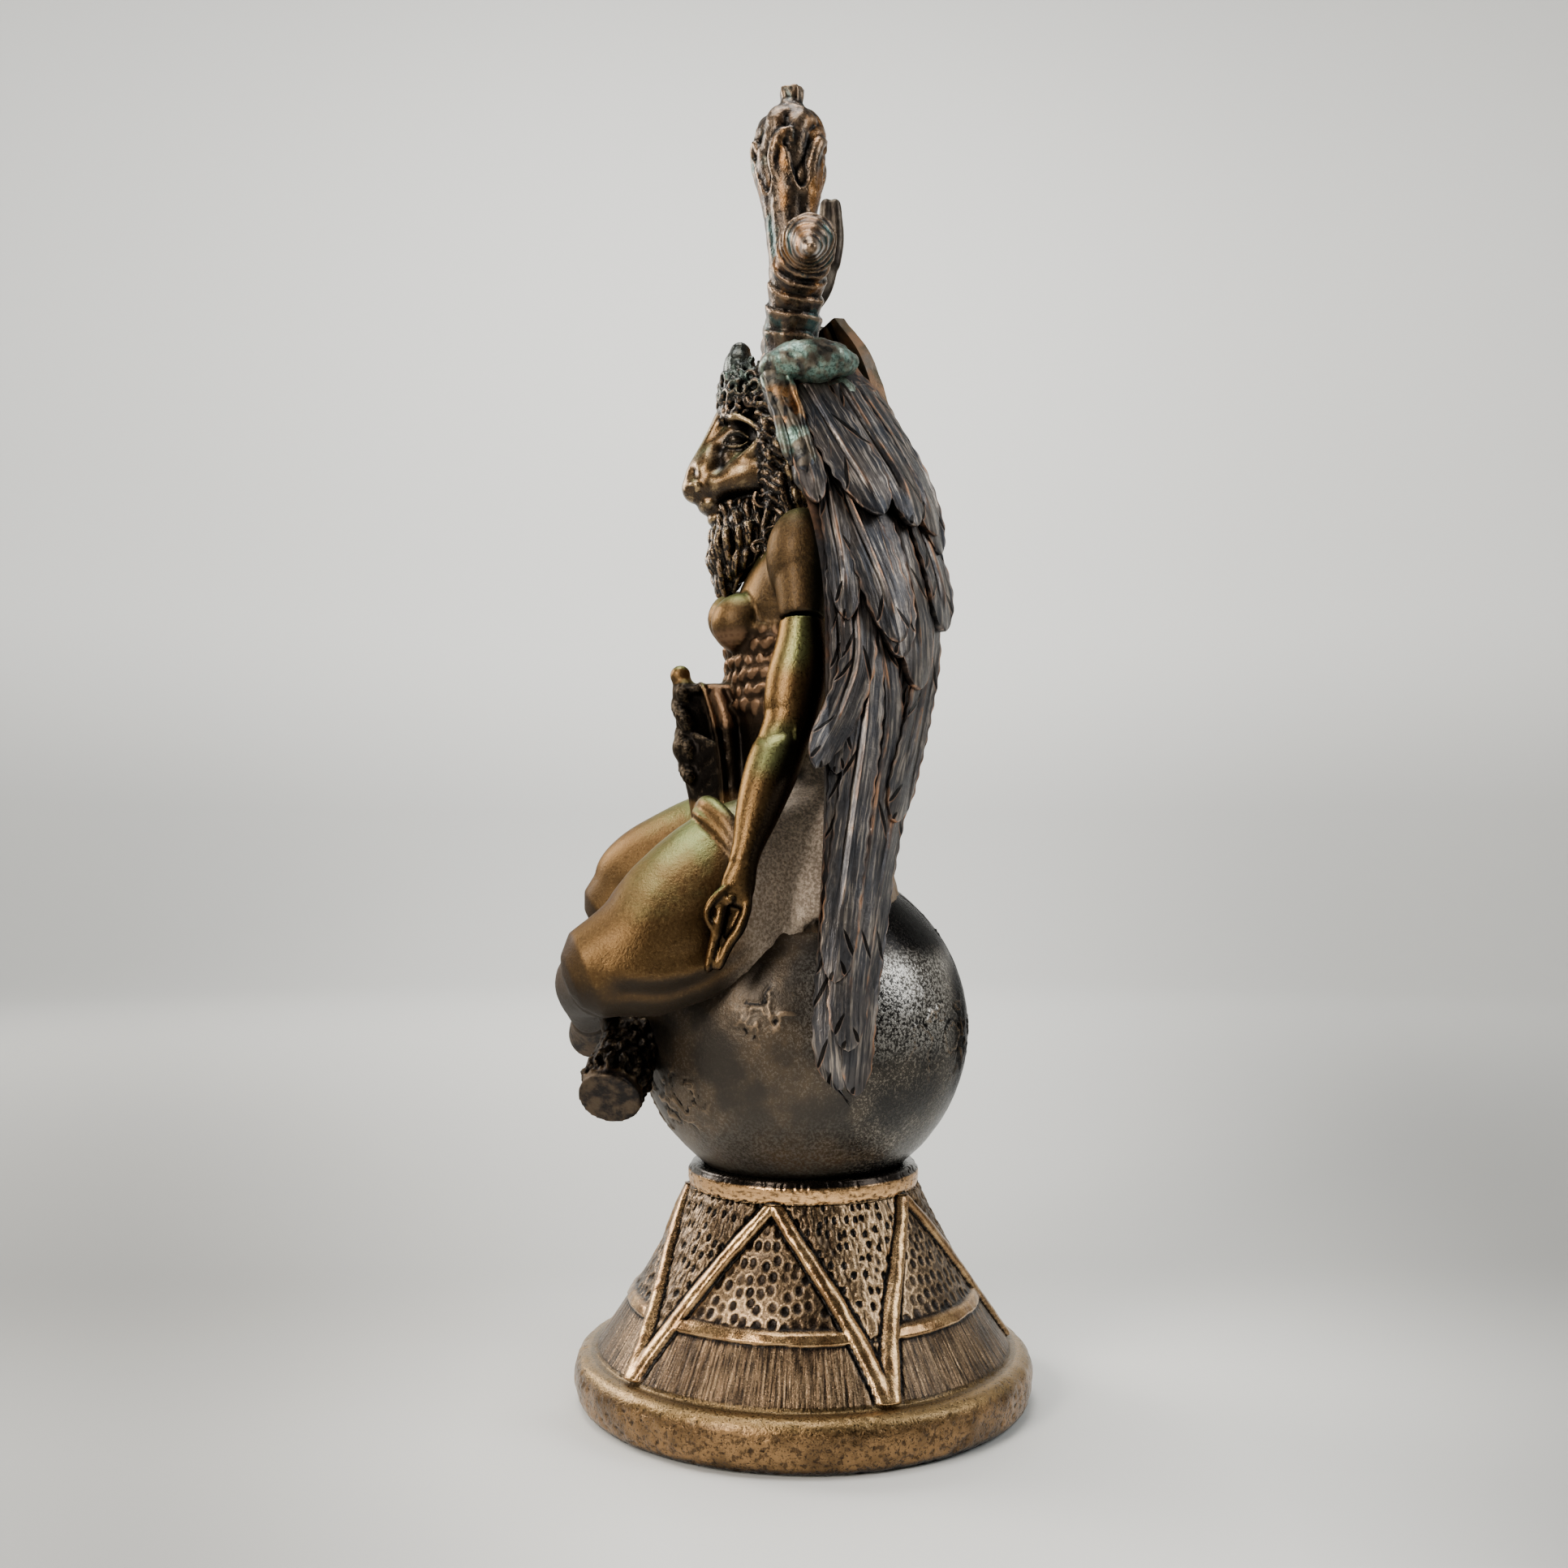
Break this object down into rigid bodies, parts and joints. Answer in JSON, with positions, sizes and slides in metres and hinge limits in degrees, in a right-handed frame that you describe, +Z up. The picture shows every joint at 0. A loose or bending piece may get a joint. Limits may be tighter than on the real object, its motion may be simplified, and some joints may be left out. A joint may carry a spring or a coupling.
{
  "type": "baphomet statuette",
  "caption": "Seated horned and winged figure with a torch between its horns, on a globe that stands in a round drum-shaped plinth.",
  "frame": {"origin": "middle of the plinth's flat underside", "axes": "+Z up, the figure faces -Y, its left side is +X"},
  "size_m": [0.082, 0.086, 0.2452],
  "materials": {
    "plinth_bronze": "bronze powder in cast resin, rubbed bright on its edges, black in its hollows",
    "globe_pewter": "dark bronze lacquer with fine pale specks",
    "figure_bronze": "satin bronze with a green-gold sheen, dark patina in its hollows"
  },
  "bodies": {
    "root": {"plinth": "plinth_bronze", "globe": "globe_pewter", "figure": "figure_bronze", "left_arm": "figure_bronze"}
  },
  "joints": []
}
